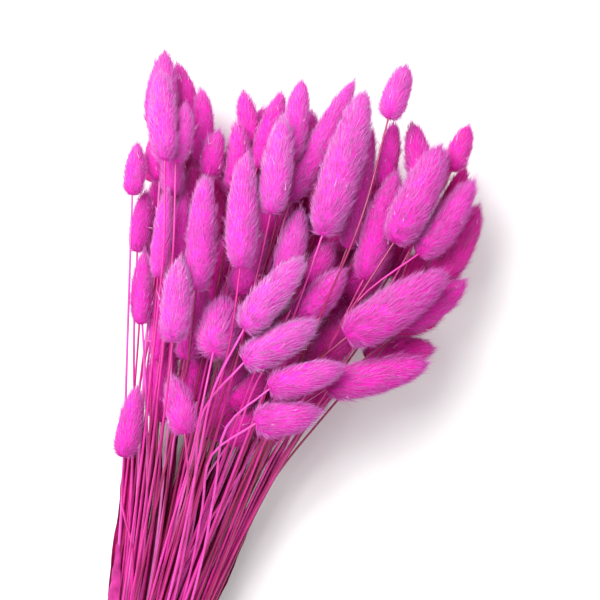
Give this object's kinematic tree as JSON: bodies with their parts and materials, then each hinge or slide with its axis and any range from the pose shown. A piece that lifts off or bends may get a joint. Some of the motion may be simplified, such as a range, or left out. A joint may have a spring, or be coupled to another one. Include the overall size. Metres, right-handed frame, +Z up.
{
  "type": "dried bunny tail grass bunch",
  "caption": "Dried, dyed bunny tail grass lying down as one bunch: long thin stems with soft oval seed heads, spreading from an elastic band round their lower ends.",
  "frame": {"origin": "on the table, under the middle of the bunch's bounding box", "axes": "+Z up from the table, +Y along the bunch from the cut stem ends to the seed heads, +X across the bunch"},
  "size_m": [0.1644, 0.4204, 0.0887],
  "materials": {
    "dyed_grass": "matte",
    "elastic_band": "satin"
  },
  "bodies": {
    "root": {"elastic_band": "elastic_band", "grass_pair_01": "dyed_grass", "grass_pair_02": "dyed_grass", "grass_pair_03": "dyed_grass", "grass_pair_04": "dyed_grass", "grass_pair_05": "dyed_grass", "grass_pair_06": "dyed_grass", "grass_pair_07": "dyed_grass", "grass_pair_08": "dyed_grass", "grass_pair_09": "dyed_grass", "grass_pair_10": "dyed_grass", "grass_pair_11": "dyed_grass", "grass_pair_12": "dyed_grass", "grass_pair_13": "dyed_grass", "grass_pair_14": "dyed_grass", "grass_pair_15": "dyed_grass", "grass_pair_16": "dyed_grass", "grass_pair_17": "dyed_grass", "grass_pair_18": "dyed_grass", "grass_pair_19": "dyed_grass", "grass_pair_20": "dyed_grass", "grass_pair_21": "dyed_grass", "grass_pair_22": "dyed_grass", "grass_pair_23": "dyed_grass", "grass_pair_24": "dyed_grass", "grass_pair_25": "dyed_grass", "grass_pair_26": "dyed_grass", "grass_pair_27": "dyed_grass", "grass_pair_28": "dyed_grass", "grass_pair_29": "dyed_grass", "grass_pair_30": "dyed_grass", "grass_pair_31": "dyed_grass", "grass_pair_32": "dyed_grass", "grass_pair_33": "dyed_grass", "grass_pair_34": "dyed_grass", "grass_pair_35": "dyed_grass", "grass_pair_36": "dyed_grass", "grass_pair_37": "dyed_grass", "grass_pair_38": "dyed_grass", "grass_pair_39": "dyed_grass", "grass_pair_40": "dyed_grass", "grass_pair_41": "dyed_grass", "grass_pair_42": "dyed_grass", "grass_pair_43": "dyed_grass", "grass_pair_44": "dyed_grass", "grass_pair_45": "dyed_grass", "grass_pair_46": "dyed_grass", "grass_pair_47": "dyed_grass"}
  },
  "joints": []
}
